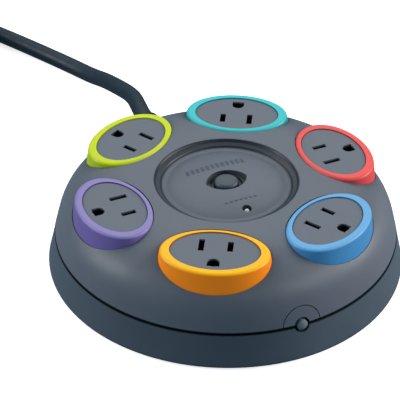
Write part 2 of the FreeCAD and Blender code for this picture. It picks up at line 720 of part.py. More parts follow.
def cord_inside():
    """The cord's end inside the casing, its clamp and the three cores and other leads."""
    keep("cord_inner_jacket", level_rod(CORD_R, JACKET_END_Y, RELIEF_FLANGE_Y[0], z=CORD_AXIS_Z))
    bar = box((-14, 14), (CLAMP_Y - CLAMP_HALF_Y, CLAMP_Y + CLAMP_HALF_Y), (CLAMP_SEAT, CLAMP_SEAT + 2.2))
    saddle = level_rod(CORD_R + 2.0, CLAMP_Y - CLAMP_HALF_Y, CLAMP_Y + CLAMP_HALF_Y, z=CORD_AXIS_Z)
    saddle = saddle.common(box((-8, 8), (50, 80), (CLAMP_SEAT, 30)))
    bar = bar.fuse(saddle).removeSplitter()
    bar = bar.cut(level_rod(CORD_R + 0.05, 50.0, 80.0, z=CORD_AXIS_Z))
    bar = cut_all(bar, [rod(1.3, 10.0, 25.0, x, CLAMP_Y) for x in (-11.0, 11.0)])
    keep("cord_clamp", bar)
    core_r = 1.2
    low, high = CORD_AXIS_Z - 1.2, CORD_AXIS_Z + 0.9
    to_switch = ((0, JACKET_END_Y, high), (0, 46, high), (0, 34, 19.6), (0, 25.0, 17.9), (0, 17.2, 17.6))
    keep("line_lead", tube(to_switch, core_r * 0.8, "line_lead"))
    over = ((-2.2, JACKET_END_Y, low), (-2.2, 47, low), (-3.0, 39.5, 21.5), (-3.4, 38.0, 27.0))
    over += ((-3.4, 43.0, 29.4), (-3.4, 51.0, 29.6), (-3.4, 57.9, 29.5), (-3.4, 57.9, BUS_HIGH))
    keep("neutral_lead", tube(over, core_r, "neutral_lead"))
    over = ((2.2, JACKET_END_Y, low), (2.2, 47, low), (3.0, 39.5, 21.5), (3.4, 38.0, 27.0))
    over += ((3.4, 43.0, 29.4), (3.4, 53.0, 29.6), (3.4, 66.5, 29.5), (3.4, 66.5, BUS_HIGH))
    keep("ground_lead", tube(over, core_r, "ground_lead"))
    switched = ((2.4, -17.0, 17.6), (2.4, -19.0, 17.6), (4.4, -23.5, 17.0), (4.5, -31.0, 15.4))
    switched += ((4.5, -38.4, 13.6),)
    keep("switched_lead", tube(switched, 1.0, "switched_lead"))
    tab = polar(40.6, BREAKER_TAB_AZIMUTH)
    keep("breaker_lead", post_tube((tab.x, tab.y, 14.2), (tab.x, tab.y, BUS_LOW), 1.0))
    tab = polar(40.4, SURGE_TAB_AZIMUTH)
    riser = post_tube((tab.x, tab.y, BOARD[5]), (tab.x, tab.y, BUS_LOW), 0.9)
    steps = ((36.5, BOARD[5]), (36.5, 20.0), (37.0, 29.3), (46.0, 29.5), (57.9, 29.4), (57.9, BUS_HIGH))
    over = [tuple(polar(r, SURGE_NEUTRAL_AZIMUTH, z)) for r, z in steps]
    keep("surge_leads", Part.makeCompound([riser, tube(over, 0.9, "surge_leads")]))


def relief():
    """The strain relief moulded on the cord: flange, neck and a ribbed taper."""
    inner_y, outer_y = RELIEF_FLANGE_Y
    points = [(inner_y, 0.0), (inner_y, RELIEF_FLANGE_R), (outer_y, RELIEF_FLANGE_R)]
    points += [(outer_y, RELIEF_NECK_R), (80.9, RELIEF_NECK_R)]
    points.append((80.9, RELIEF_NECK_R + 0.5))
    ribs = 4
    pitch = (RELIEF_TIP_Y - RELIEF_RIBS_Y) / ribs
    for i in range(ribs):
        start = RELIEF_RIBS_Y + i * pitch
        radius = RELIEF_NECK_R + (RELIEF_TIP_R - RELIEF_NECK_R) * (i + 0.5) / ribs
        points.append((start, radius + 0.15))
        points.append((start + pitch * 0.62, radius - 0.15))
        if i < ribs - 1:
            points.append((start + pitch * 0.62, radius - 1.0))
            points.append((start + pitch, radius - 1.0))
    points.append((RELIEF_TIP_Y, RELIEF_TIP_R - 0.4))
    points.append((RELIEF_TIP_Y, 0.0))
    keep("strain_relief", lathe_level(points, CORD_AXIS_Z))


# Free cord ------------------------------------------------------------------------------------


def tail_ends():
    """Where the cord's last straight stretch leaves the coil and where it meets the plug."""
    radius = COIL_MEAN_R + CORD_D * (1 + COIL_PART_TURN)
    leave = V(*COIL_CENTRE, PLUG_AXIS_Z) + polar(radius, PLUG_HEADING - 90)
    return leave, leave + polar(TAIL_LENGTH, PLUG_HEADING)


def free_cord():
    """The cord on the floor, the coil of its put-away length with its tie, and the plug."""
    keep("cord_tube", tube(CORD_ROUTE, CORD_R, "cord_tube"))
    half_width = COIL_COLUMNS * CORD_R
    height = COIL_LAYERS * CORD_D + 0.1
    inner = COIL_MEAN_R - half_width - 0.38 * CORD_D
    outer = COIL_MEAN_R + half_width + COIL_PART_TURN * CORD_D
    coil = ring_plate(inner, outer, 0.1, height)
    coil = coil.makeFillet(3.0, coil.Edges)
    coil.translate(V(*COIL_CENTRE, 0))
    tail_start, tail_end = tail_ends()
    keep("cord_tail", post_tube(tail_start, tail_end, CORD_R))
    keep("cord_coil", cut_all(coil, [made["cord_tube"], made["cord_tail"]]))
    band_in, band_out = inner - 0.6, outer + 0.3
    tie = box((band_in - 1.6, band_out + 1.6), (-4, 4), (0.02, height + 1.8))
    tie = tie.cut(box((band_in, band_out), (-5, 5), (-1, height + 0.2)))
    tie.rotate(ORIGIN, Z_AXIS, TIE_AZIMUTH)
    tie.translate(V(*COIL_CENTRE, 0))
    keep("coil_tie", tie)


def plug():
    """The three-pin plug at the cord's end, lying beside the coil."""
    tail = PLUG_TAIL
    end = tail + PLUG_LENGTH
    body = box((tail, end), (-12.5, 12.5), (-12.5, 12.5))
    body = body.makeFillet(5.0, [e for e in body.Edges if e.BoundBox.XLength > PLUG_LENGTH - 1])
    back = [e for e in body.Edges if e.BoundBox.XMax < tail + 1e-3]
    body = body.makeFillet(3.0, back)
    taper = Part.makeCone(5.2, 7.8, tail + 1, ORIGIN, V(1, 0, 0))
    start = tail_ends()[1]
    body = joined([body, taper])
    grooves = []
    for x in (tail + 9.0, tail + 14.0, tail + 19.0):
        for side in (-1, 1):
            grooves.append(box((x, x + 2.0), tuple(sorted((side * 11.7, side * 13.0))), (-8.0, 8.0)))
    body = cut_all(body, grooves)
    blade = box((end, end + 17.0), (-0.75, 0.75), (-3.175, 3.175))
    blades = []
    for y in (-BLADE_PITCH / 2, BLADE_PITCH / 2):
        copy = blade.copy()
        copy.translate(V(0, y, 3.0))
        blades.append(copy.cut(Part.makeCylinder(1.6, 4, V(end + 12, y - 2, 3.0), V(0, 1, 0))))
    pin = Part.makeCylinder(2.4, 20.0, V(end, 0, 3.0 - 11.87), V(1, 0, 0))
    pin = pin.makeFillet(1.6, [e for e in pin.Edges if e.BoundBox.XMin > end + 19.9])
    parts = (("plug_body", body), ("plug_line_blade", blades[0]), ("plug_neutral_blade", blades[1]))
    for name, shape in parts + (("plug_ground_pin", pin),):
        shape.rotate(ORIGIN, Z_AXIS, PLUG_HEADING)
        shape.translate(start)
        keep(name, shape)


def build():
    """Makes every node."""
    os.makedirs("parts", exist_ok=True)
    outer = cover_outer_solid()
    inner = cover_inner_solid()
    keep("top_cover", cover_shape(outer, inner))
    keep("reset_escutcheon", escutcheon_shape(outer, inner))
    keep("base_tray", base_shape())
    feet()
    fasteners()
    sockets()
    contacts()
    push_switch()
    indicator()
    breaker()
    surge_board()
    cord_inside()
    relief()
    free_cord()
    plug()
    print(len(made), "nodes")


build()
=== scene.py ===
import json
import math

import bmesh
import bpy
from mathutils import Matrix, Vector
from mathutils.bvhtree import BVHTree


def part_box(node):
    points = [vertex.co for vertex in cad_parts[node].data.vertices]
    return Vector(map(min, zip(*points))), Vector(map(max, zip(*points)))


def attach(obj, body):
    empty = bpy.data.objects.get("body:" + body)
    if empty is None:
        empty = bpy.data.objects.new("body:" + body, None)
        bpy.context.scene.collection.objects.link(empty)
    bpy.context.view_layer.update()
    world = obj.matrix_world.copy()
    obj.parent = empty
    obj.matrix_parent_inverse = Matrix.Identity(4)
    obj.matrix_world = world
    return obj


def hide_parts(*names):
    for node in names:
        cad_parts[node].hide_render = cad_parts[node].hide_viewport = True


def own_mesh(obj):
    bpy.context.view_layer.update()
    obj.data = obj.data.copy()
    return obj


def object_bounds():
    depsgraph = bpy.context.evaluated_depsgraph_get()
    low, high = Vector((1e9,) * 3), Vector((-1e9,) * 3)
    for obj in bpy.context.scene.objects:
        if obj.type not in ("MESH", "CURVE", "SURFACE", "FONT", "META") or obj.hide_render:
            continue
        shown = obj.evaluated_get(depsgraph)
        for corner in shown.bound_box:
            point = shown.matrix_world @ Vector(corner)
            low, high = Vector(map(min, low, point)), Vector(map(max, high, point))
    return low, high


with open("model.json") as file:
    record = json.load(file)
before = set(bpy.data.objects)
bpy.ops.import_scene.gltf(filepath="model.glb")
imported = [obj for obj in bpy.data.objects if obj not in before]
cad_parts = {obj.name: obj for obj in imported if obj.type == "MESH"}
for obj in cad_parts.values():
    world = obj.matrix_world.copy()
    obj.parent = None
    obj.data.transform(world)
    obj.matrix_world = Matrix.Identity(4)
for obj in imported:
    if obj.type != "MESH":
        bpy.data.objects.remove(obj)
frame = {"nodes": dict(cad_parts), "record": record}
cad_low, cad_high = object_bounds()

MM = 0.001
nodes = frame["nodes"]
scene = bpy.context.scene

# Camera ------------------------------------------------------------------------------------------

VIEW_AZIMUTH = 24.4
VIEW_ELEVATION = 35.66
VIEW_DISTANCE = 0.8325
VIEW_ROLL = 0.42
VIEW_TARGET = Vector((-0.0132, 0.0, 0.0358))
LENS_MM = 164.1
SENSOR_MM = 36.0


def make_camera():
    """The camera at the viewing angle: azimuth is turned clockwise from the front, seen from above."""
    azimuth = math.radians(VIEW_AZIMUTH)
    elevation = math.radians(VIEW_ELEVATION)
    away = Vector((-math.sin(azimuth) * math.cos(elevation), -math.cos(azimuth) * math.cos(elevation),
                   math.sin(elevation)))
    data = bpy.data.cameras.new("camera")
    data.lens = LENS_MM
    data.sensor_width = SENSOR_MM
    camera = bpy.data.objects.new("camera", data)
    scene.collection.objects.link(camera)
    turn = (-away).to_track_quat("-Z", "Y").to_matrix().to_4x4()
    roll = Matrix.Rotation(math.radians(VIEW_ROLL), 4, "Z")
    camera.matrix_world = Matrix.Translation(VIEW_TARGET + away * VIEW_DISTANCE) @ turn @ roll
    scene.camera = camera


make_camera()

# Cord --------------------------------------------------------------------------------------------

CORD_D = 8.4 * MM
CORD_LOOK = "cord_jacket"
CORD_ROUTE = (
    (0.0, 0.0940, 0.0195),
    (0.0, 0.1000, 0.0195),
    (0.0010, 0.1075, 0.0194),
    (0.0024, 0.1155, 0.0187),
    (0.0027, 0.1235, 0.0174),
    (0.0018, 0.1320, 0.0156),
    (0.0006, 0.1421, 0.0132),
    (-0.0004, 0.1524, 0.0102),
    (-0.0019, 0.1620, 0.0070),
    (-0.0040, 0.1715, 0.0050),
    (-0.0082, 0.1825, 0.0043),
    (-0.0155, 0.1970, 0.0043),
    (-0.0235, 0.2125, 0.0043),
    (-0.0338, 0.2315, 0.0043),
    (-0.0455, 0.2500, 0.0043),
    (-0.0600, 0.2680, 0.0043),
)
COIL_CENTRE = Vector((-0.1029, 0.2335))
COIL_OUTER_R = 0.0551
COIL_STEPS_PER_TURN = 16
COIL_TURN_START = 38.9
COIL_TURN_END = 195.0 + 5 * 360.0
PLUG_HEADING = 285.0
PLUG_AXIS_Z = 0.0126
TAIL = 0.044
TAIL_STOPS = (0.25, 0.6, 1.0)
CROSSING_DIP = 0.38 * CORD_D


def coil_place(turn):
    """Radius and height of the cord's centre line after that many turns.

    Two turns wind inward on the floor, the third climbs onto them, and the rest wind outward on top.
    """
    low_z = CORD_ROUTE[-1][2]
    inner_r = COIL_OUTER_R - 2 * CORD_D
    if turn < 2:
        return COIL_OUTER_R - turn * CORD_D, low_z
    if turn < 3:
        part = math.pi * (turn - 2)
        return inner_r - CROSSING_DIP * math.sin(part), low_z + CORD_D * (1 - math.cos(part)) / 2
    return inner_r + (turn - 3) * CORD_D, low_z + CORD_D


def cord_points():
    """The free run, then the coil's turns, then the straight tail into the plug."""
    points = [Vector(p) for p in CORD_ROUTE]
    whole = COIL_TURN_END - COIL_TURN_START
    steps = round(whole / 360.0 * COIL_STEPS_PER_TURN)
    step = whole / steps
    reach = 1 / math.cos(math.radians(step / 2))
    for i in range(steps):
        angle = math.radians(COIL_TURN_START + (i + 0.5) * step)
        radius, z = coil_place((i + 0.5) * step / 360.0)
        centre = COIL_CENTRE + Vector((math.cos(angle), math.sin(angle))) * radius * reach
        points.append(Vector((centre.x, centre.y, z)))
    heading = math.radians(PLUG_HEADING)
    along = Vector((math.cos(heading), math.sin(heading), 0.0))
    out = Vector((math.cos(heading - math.pi / 2), math.sin(heading - math.pi / 2), 0.0))
    leave_r, _ = coil_place(whole / 360.0)
    leave = Vector((COIL_CENTRE.x, COIL_CENTRE.y, PLUG_AXIS_Z)) + out * leave_r
    points += [leave + along * TAIL * stop for stop in TAIL_STOPS]
    return points


def make_cord():
    """The mains cord as one smooth spline; its material is filled in with the others."""
    curve = bpy.data.curves.new("mains_cord", "CURVE")
    curve.dimensions = "3D"
    curve.bevel_depth = CORD_D / 2
    curve.bevel_resolution = 8
    curve.resolution_u = 8
    curve.use_fill_caps = True
    curve.materials.append(bpy.data.materials.new(CORD_LOOK))
    spline = curve.splines.new("NURBS")
    points = cord_points()
    spline.points.add(len(points) - 1)
    for place, point in zip(points, spline.points):
        point.co = (*place, 1.0)
    spline.order_u = 3
    spline.use_endpoint_u = True
    cord = bpy.data.objects.new("mains_cord", curve)
    scene.collection.objects.link(cord)
    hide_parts("cord_tube", "cord_coil", "cord_tail")
    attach(cord, "casing")
    return cord


cord = make_cord()

# Materials ---------------------------------------------------------------------------------------

EVEN = (1, 1, 1)
NO_TURN = (0.0, 0.0, 0.0)


class Look:
    """A procedural material under construction, in object coordinates, which are metres.

    A material that already has this name, as the cord's does, is filled in.
    """

    def __init__(self, name):
        self.material = bpy.data.materials.get(name) or bpy.data.materials.new(name)
        self.material.use_nodes = True
        self.tree = self.material.node_tree
        self.shader = self.tree.nodes["Principled BSDF"]
        self.place = self.add("ShaderNodeTexCoord").outputs["Object"]

    def add(self, kind, **settings):
        node = self.tree.nodes.new(kind)
        for key, value in settings.items():
            setattr(node, key, value)
        return node

    def feed(self, node, **values):
        """Sets sockets by name: a value is stored, a socket is linked."""
        for key, value in values.items():
            socket = node.inputs[key.replace("_", " ")]
            if isinstance(value, bpy.types.NodeSocket):
                self.tree.links.new(value, socket)
            else:
                socket.default_value = value
        return node

    def noise(self, scale, detail=2.0, rough=0.5, stretch=EVEN, turn=NO_TURN):
        place = self.place
        if stretch != EVEN or turn != NO_TURN:
            mapping = self.feed(self.add("ShaderNodeMapping"), Vector=place, Scale=stretch, Rotation=turn)
            place = mapping.outputs["Vector"]
        node = self.add("ShaderNodeTexNoise")
        return self.feed(node, Vector=place, Scale=scale, Detail=detail, Roughness=rough).outputs["Fac"]

    def cells(self, scale):
        node = self.add("ShaderNodeTexVoronoi")
        return self.feed(node, Vector=self.place, Scale=scale).outputs["Distance"]

    def math(self, operation, a, b=0.0):
        node = self.add("ShaderNodeMath", operation=operation)
        for socket, value in zip(node.inputs, (a, b)):
            if isinstance(value, bpy.types.NodeSocket):
                self.tree.links.new(value, socket)
            else:
                socket.default_value = value
        return node.outputs[0]

    def ramp(self, value, low, high, out_low=0.0, out_high=1.0):
        node = self.add("ShaderNodeMapRange", clamp=True)
        names = ("From Min", "From Max", "To Min", "To Max")
        for name, number in zip(names, (low, high, out_low, out_high)):
            node.inputs[name].default_value = number
        self.tree.links.new(value, node.inputs["Value"])
        return node.outputs["Result"]

    def mix(self, factor, a, b):
        node = self.add("ShaderNodeMix", data_type="RGBA", clamp_result=True)
        for index, value in ((0, factor), (6, a), (7, b)):
            if isinstance(value, bpy.types.NodeSocket):
                self.tree.links.new(value, node.inputs[index])
            else:
                node.inputs[index].default_value = value
        return node.outputs[2]

    def height(self):
        node = self.add("ShaderNodeSeparateXYZ")
        self.tree.links.new(self.place, node.inputs[0])
        return node.outputs["Z"]

    def normal(self):
        return self.add("ShaderNodeNewGeometry").outputs["Normal"]

    def dot(self, a, b):
        node = self.add("ShaderNodeVectorMath", operation="DOT_PRODUCT")
        self.tree.links.new(a, node.inputs[0])
        self.tree.links.new(b, node.inputs[1])
        return node.outputs["Value"]

    def steep(self, flat, upright):
        """0 where the surface lies flat, 1 where it stands up, between those two heights of its normal."""
        node = self.add("ShaderNodeSeparateXYZ")
        self.tree.links.new(self.normal(), node.inputs[0])
        return self.ramp(self.math("ABSOLUTE", node.outputs["Z"]), flat, upright)

    def middle_distance(self):
        """How far a place is from the vertical line through the middle of the object."""
        flat = self.feed(self.add("ShaderNodeVectorMath", operation="MULTIPLY"), Vector=self.place)
        flat.inputs[1].default_value = (1, 1, 0)
        length = self.add("ShaderNodeVectorMath", operation="LENGTH")
        self.tree.links.new(flat.outputs["Vector"], length.inputs[0])
        return length.outputs["Value"]

    def facing_away(self, heart):
        """Above 0 where the surface faces away from that point."""
        away = self.feed(self.add("ShaderNodeVectorMath", operation="SUBTRACT"), Vector=self.place)
        away.inputs[1].default_value = heart
        return self.dot(away.outputs["Vector"], self.normal())

    def edge(self, radius):
        """1 where an outer or inner edge is near, from how far a rounded normal leaves the true one."""
        bevel = self.add("ShaderNodeBevel", samples=4)
        bevel.inputs["Radius"].default_value = radius
        return self.ramp(self.dot(bevel.outputs["Normal"], self.normal()), 0.98, 0.75)

    def hollow(self, distance, low=0.25, high=0.8):
        """1 in deep corners, 0 on open surfaces."""
        node = self.add("ShaderNodeAmbientOcclusion", samples=6)
        node.inputs["Distance"].default_value = distance
        return self.ramp(node.outputs["AO"], high, low)

    def bump(self, height, strength, distance, onto=None):
        node = self.feed(self.add("ShaderNodeBump"), Height=height, Strength=strength, Distance=distance)
        if onto is not None:
            self.tree.links.new(onto, node.inputs["Normal"])
        return node.outputs["Normal"]

    def finish(self, **values):
        self.feed(self.shader, **values)
        return self.material


def shade(colour, factor):
    """That colour made darker or paler."""
    return tuple(min(1.0, part * factor) for part in colour) + (1.0,)


def plain(*colour):
    """That colour as a socket takes it."""
    return colour + (1.0,)


BLACK = plain(0.0, 0.0, 0.0)
# Near-black painted shade inside slots.
SLOT_SHADE = plain(0.004, 0.005, 0.006)
# Near-black painted shade along the seam.
SEAM_SHADE = plain(0.004, 0.009, 0.013)
EDGE_ROUND = 0.0005
CORNER_SHADE_RAMP = 0.35
SOFT_LIP = 0.0008


def scuffs_of(look):
    """Crossing hairline scratches, in patches."""
    hairs = look.noise(60.0, 2.0, 0.5, (1.0, 40.0, 6.0), (0.3, 0.5, 0.6))
    crossing = look.noise(70.0, 2.0, 0.5, (40.0, 1.5, 5.0), (0.2, 0.1, 0.9))
    patches = look.ramp(look.noise(35.0, 2.0), 0.5, 0.68)
    scratches = look.math("MAXIMUM", look.ramp(hairs, 0.68, 0.74), look.ramp(crossing, 0.68, 0.74))
    return look.math("MULTIPLY", scratches, patches)


def upright_sides(look, within):
    """1 on the steep sides, or only on those from half of within to within from the middle of the object."""
    if within is None:
        return look.steep(0.75, 0.35)
    distance = look.middle_distance()
    inside = look.ramp(distance, within, within - SOFT_LIP)
    outside = look.ramp(distance, within * 0.5, within * 0.6)
    return look.math("MULTIPLY", look.steep(0.985, 0.88), look.math("MULTIPLY", inside, outside))


def moulded(name, colour, rough=0.45, grain=1500.0, relief=0.00003, gloss=0.4, wear=0.35, shade_below=None,
            corner_shade=0.25, reach=0.004, wall_shade=None, within=None, open_at=0.8, painted_glow=0.0, heart=None,
            seam=None):
    """Moulded plastic: fine spark-eroded grain, slow flow marks, hairline scuffs, paler edges, painted shade
    in corners.

    wall is the darker colour painted as shade on the steep sides, and within limits it to a bowl's sides.
    reach is how far from a corner the painted shade spreads, dust how strong it is, and open_at how open a
    place is when it gets none. painted_glow is the strength of a painted glow, light put into the colour on
    the sides that face away from heart. Below shade_below the part is painted black as shade, and seam is the
    height of a seam whose edges get painted shade.
    """
    look = Look(name)
    flow = look.noise(22.0, 3.0, 0.55)
    cloud = look.noise(140.0, 3.0, 0.6)
    fine = look.noise(grain, 4.0, 0.6)
    pores = look.cells(grain * 0.7)
    scuffs = scuffs_of(look)
    worn = look.math("MULTIPLY", look.edge(EDGE_ROUND), look.ramp(cloud, 0.35, 0.6, 0.35, 1.0))

    marbled = look.ramp(flow, 0.3, 0.7)
    tint = look.mix(marbled, shade(colour, 0.95), shade(colour, 1.06))
    tint = look.mix(look.ramp(cloud, 0.35, 0.75, 0.0, 0.35), tint, shade(colour, 1.10))
    tint = look.mix(look.math("MULTIPLY", scuffs, 0.20), tint, shade(colour, 1.5))
    tint = look.mix(look.math("MULTIPLY", worn, wear), tint, shade(colour, 1.35))
    # Painted shade: the steep sides take the darker colour.
    if wall_shade is not None:
        deep = look.mix(marbled, shade(wall_shade, 0.95), shade(wall_shade, 1.06))
        tint = look.mix(upright_sides(look, within), tint, deep)
    # Painted shade: corners and recesses are darkened by how shut in they are.
    corner = look.hollow(reach, open_at - CORNER_SHADE_RAMP, open_at)
    tint = look.mix(look.math("MULTIPLY", corner, corner_shade), tint, shade(colour, 0.28))
    # Painted shade: a dark band along the seam's edges.
    if seam is not None:
        off_seam = look.math("ABSOLUTE", look.math("SUBTRACT", look.height(), seam))
        tint = look.mix(look.ramp(off_seam, 0.0010, 0.0006), tint, SEAM_SHADE)
    # Painted shade: below that height the part is near black.
    if shade_below is not None:
        depth = look.ramp(look.height(), shade_below - 0.0006, shade_below)
        tint = look.mix(depth, SLOT_SHADE, tint)

    roughness = look.ramp(look.math("ADD", flow, look.math("MULTIPLY", cloud, 0.6)), 0.55, 1.05,
                          rough - 0.06, rough + 0.08)
    roughness = look.math("ADD", roughness, look.math("MULTIPLY", scuffs, -0.10))
    roughness = look.math("SUBTRACT", roughness, look.math("MULTIPLY", worn, 0.08))
    grain_height = look.math("ADD", fine, look.math("MULTIPLY", pores, 0.6))
    normal = look.bump(flow, 0.10, 0.00025)
    normal = look.bump(grain_height, 0.35, relief, normal)
    normal = look.bump(scuffs, 0.2, 0.00002, normal)
    look.shader.inputs["Specular IOR Level"].default_value = gloss
    # Painted light: the part glows on the sides that face away from heart, though it is no lamp.
    if painted_glow:
        look.shader.inputs["Emission Strength"].default_value = painted_glow
        outer = look.ramp(look.facing_away(heart), 0.0, 0.003)
        look.feed(look.shader, Emission_Color=look.mix(outer, BLACK, tint))
    return look.finish(Base_Color=tint, Roughness=roughness, Normal=normal)


def metal(name, colour, rough, stretch=(1, 1, 30)):
    """Bare metal: brushed lines, cloudy tarnish and small pits."""
    look = Look(name)
    lines = look.noise(900.0, 3.0, 0.6, stretch)
    cloud = look.noise(160.0, 4.0, 0.6)
    pits = look.ramp(look.cells(1400.0), 0.0, 0.12)
    tint = look.mix(look.ramp(lines, 0.3, 0.7), shade(colour, 0.88), shade(colour, 1.08))
    tint = look.mix(look.math("MULTIPLY", look.ramp(cloud, 0.5, 0.75), 0.3), tint, shade(colour, 0.45))
    # Painted shade: darker in hollows.
    tint = look.mix(look.math("MULTIPLY", look.hollow(0.0015), 0.7), tint, shade(colour, 0.12))
    roughness = look.ramp(look.math("ADD", lines, cloud), 0.6, 1.4, rough - 0.08, rough + 0.14)
    normal = look.bump(lines, 0.25, 0.00002)
    normal = look.bump(pits, 0.15, 0.00002, normal)
    look.shader.inputs["Metallic"].default_value = 1.0
    return look.finish(Base_Color=tint, Roughness=roughness, Normal=normal)


def jacket(name, colour, rough=0.5, gloss=0.4):
    """Cord jacket and soft mouldings: satin rubber with talc haze, rub marks and a fine orange peel."""
    look = Look(name)
    slow = look.noise(30.0, 3.0, 0.6)
    peel = look.noise(900.0, 3.0, 0.55)
    haze = look.noise(220.0, 4.0, 0.65)
    marks = look.math("MULTIPLY", look.ramp(look.noise(150.0, 2.0, 0.5, (1.0, 1.0, 14.0)), 0.62, 0.7),
                      look.ramp(slow, 0.45, 0.6))
    tint = look.mix(look.ramp(slow, 0.3, 0.7), shade(colour, 0.88), shade(colour, 1.08))
    tint = look.mix(look.ramp(haze, 0.55, 0.8, 0.0, 0.30), tint, shade(colour, 1.5))
    # Painted shade: darker in hollows.
    tint = look.mix(look.math("MULTIPLY", look.hollow(0.003), 0.5), tint, shade(colour, 0.35))
    roughness = look.ramp(look.math("ADD", haze, slow), 0.7, 1.3, rough - 0.08, rough + 0.12)
    roughness = look.math("SUBTRACT", roughness, look.math("MULTIPLY", marks, 0.12))
    normal = look.bump(look.math("ADD", peel, look.math("MULTIPLY", haze, 0.5)), 0.4, 0.00004)
    look.shader.inputs["Specular IOR Level"].default_value = gloss
    return look.finish(Base_Color=tint, Roughness=roughness, Normal=normal)


def lens_look(name, lit_above):
    """Clear light pipe: a pale tip that glows as a lit indicator, partly a painted highlight, over a shaft
    painted dark as shade.
    """
    look = Look(name)
    swirl = look.noise(700.0, 3.0, 0.5)
    tip = look.ramp(look.height(), lit_above - 0.0003, lit_above)
    glow = look.mix(look.ramp(swirl, 0.3, 0.7), plain(0.30, 0.36, 0.36), plain(0.48, 0.54, 0.54))
    # Painted shade: the shaft below the tip is near black.
    tint = look.mix(tip, plain(0.010, 0.013, 0.016), glow)
    roughness = look.ramp(swirl, 0.3, 0.7, 0.12, 0.26)
    normal = look.bump(swirl, 0.15, 0.00003)
    look.shader.inputs["Specular IOR Level"].default_value = 0.6
    look.shader.inputs["Emission Strength"].default_value = 0.25
    return look.finish(Base_Color=tint, Roughness=roughness, Normal=normal, Emission_Color=tint)


def board_look(name):
    """Fibreglass board: woven laminate under a green mask with copper tracks showing as paler bands."""
    look = Look(name)
    warp, weft = (look.noise(900.0, 1.0, 0.5, stretch) for stretch in ((1, 12, 1), (12, 1, 1)))
    weave = look.math("MULTIPLY", warp, weft)
    tracks = look.ramp(look.noise(120.0, 1.0, 0.3, (1, 4, 1)), 0.52, 0.54)
    tint = look.mix(look.ramp(weave, 0.1, 0.4), plain(0.02, 0.10, 0.04), plain(0.04, 0.16, 0.07))
    tint = look.mix(look.math("MULTIPLY", tracks, 0.5), tint, plain(0.10, 0.28, 0.12))
    normal = look.bump(look.math("ADD", weave, tracks), 0.3, 0.00005)
    return look.finish(Base_Color=tint, Roughness=look.ramp(weave, 0.1, 0.4, 0.3, 0.45), Normal=normal)


FACE_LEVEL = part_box("socket_face_orange")[1].z
PIPE_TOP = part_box("light_pipe")[1].z
PIPE_LIT = 0.0011
FACE_SKIN = 0.0005
SLATE = (0.124, 0.142, 0.170)
# A darker, bluer copy of the casing colour, painted as shade on the tray.
SLATE_TRAY_SHADE = (0.074, 0.098, 0.121)
# Near-black painted shade for the steep sides inside the dish.
SLATE_WALL_SHADE = (0.004, 0.010, 0.016)
DISH_LIP_R = 0.0402
SEAM_Z = 0.0175
LOOKS = {
    # The casing: strong painted shade in corners, near-black painted shade on the dish's steep sides and along
    # the seam.
    "casing": moulded("casing_plastic", SLATE, 0.42, corner_shade=0.9, reach=0.016, open_at=0.99,
                      wall_shade=SLATE_WALL_SHADE, within=DISH_LIP_R, seam=SEAM_Z),
    # The tray: the casing's plastic in a copy darkened as painted shade.
    "tray": moulded("tray_plastic", SLATE_TRAY_SHADE, 0.46, corner_shade=0.8, reach=0.008, seam=SEAM_Z),
    # The reset button: the casing's plastic made paler as a painted highlight.
    "reset": moulded("reset_plastic", (0.165, 0.200, 0.220), 0.38, wear=0.2),
    # The faces: their slots are painted near black as shade.
    "face": moulded("face_plastic", (0.138, 0.157, 0.186), 0.46, shade_below=FACE_LEVEL - FACE_SKIN, corner_shade=0.1),
    "button": moulded("button_plastic", (0.054, 0.076, 0.090), 0.40, wear=0.2),
    "carrier": moulded("carrier_plastic", (0.020, 0.022, 0.025), 0.5),
    "tie": moulded("tie_plastic", (0.030, 0.032, 0.036), 0.42),
    "component_blue": moulded("varistor_coating", (0.06, 0.14, 0.45), 0.3, grain=800.0),
    "component_yellow": moulded("capacitor_case", (0.75, 0.58, 0.10), 0.3),
    "component_white": moulded("fuse_ceramic", (0.80, 0.80, 0.78), 0.35),
    "steel": metal("zinc_plated_steel", (0.60, 0.60, 0.58), 0.30),
    "brass": metal("stamped_brass", (0.78, 0.60, 0.30), 0.28, (30, 1, 1)),
    "rubber": jacket("foot_rubber", (0.020, 0.021, 0.024), 0.65),
    "cord": jacket(CORD_LOOK, (0.010, 0.025, 0.037), 0.45, gloss=0.3),
    "lead_black": jacket("lead_black_jacket", (0.02, 0.02, 0.02)),
    "lead_white": jacket("lead_white_jacket", (0.75, 0.75, 0.72)),
    "lead_green": jacket("lead_green_jacket", (0.03, 0.26, 0.07)),
    "lens": lens_look("lens_clear", PIPE_TOP - PIPE_LIT),
    "board": board_look("board_laminate"),
}
# Painted light: the orange ring glows on its outward sides, though it is no lamp.
ORANGE_PAINTED_GLOW = 0.15
# Each ring's colour on top, and a darker copy of it painted on its steep sides as shade.
RING_COLOURS = {
    "coral": ((0.93, 0.100, 0.085), (0.80, 0.080, 0.075)),
    "teal": ((0.045, 0.580, 0.590), (0.020, 0.380, 0.400)),
    "lime": ((0.630, 0.740, 0.003), (0.470, 0.640, 0.010)),
    "purple": ((0.285, 0.240, 0.510), (0.190, 0.140, 0.400)),
    "orange": ((1.0, 0.480, 0.001), (1.0, 0.250, 0.004)),
    "blue": ((0.150, 0.430, 0.730), (0.070, 0.290, 0.580)),
}
for colour_name, (top_colour, wall_shade_colour) in RING_COLOURS.items():
    ring_low, ring_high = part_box("ring_" + colour_name)
    ring_foot = ((ring_low.x + ring_high.x) / 2, (ring_low.y + ring_high.y) / 2, ring_low.z)
    glow = ORANGE_PAINTED_GLOW if colour_name == "orange" else 0.0
    ring_look = moulded("ring_plastic_" + colour_name, top_colour, 0.40, grain=1800.0, relief=0.00002,
                        gloss=0.30, wear=0.12, corner_shade=0.35, wall_shade=wall_shade_colour, painted_glow=glow, heart=ring_foot)
    LOOKS["ring_" + colour_name] = ring_look

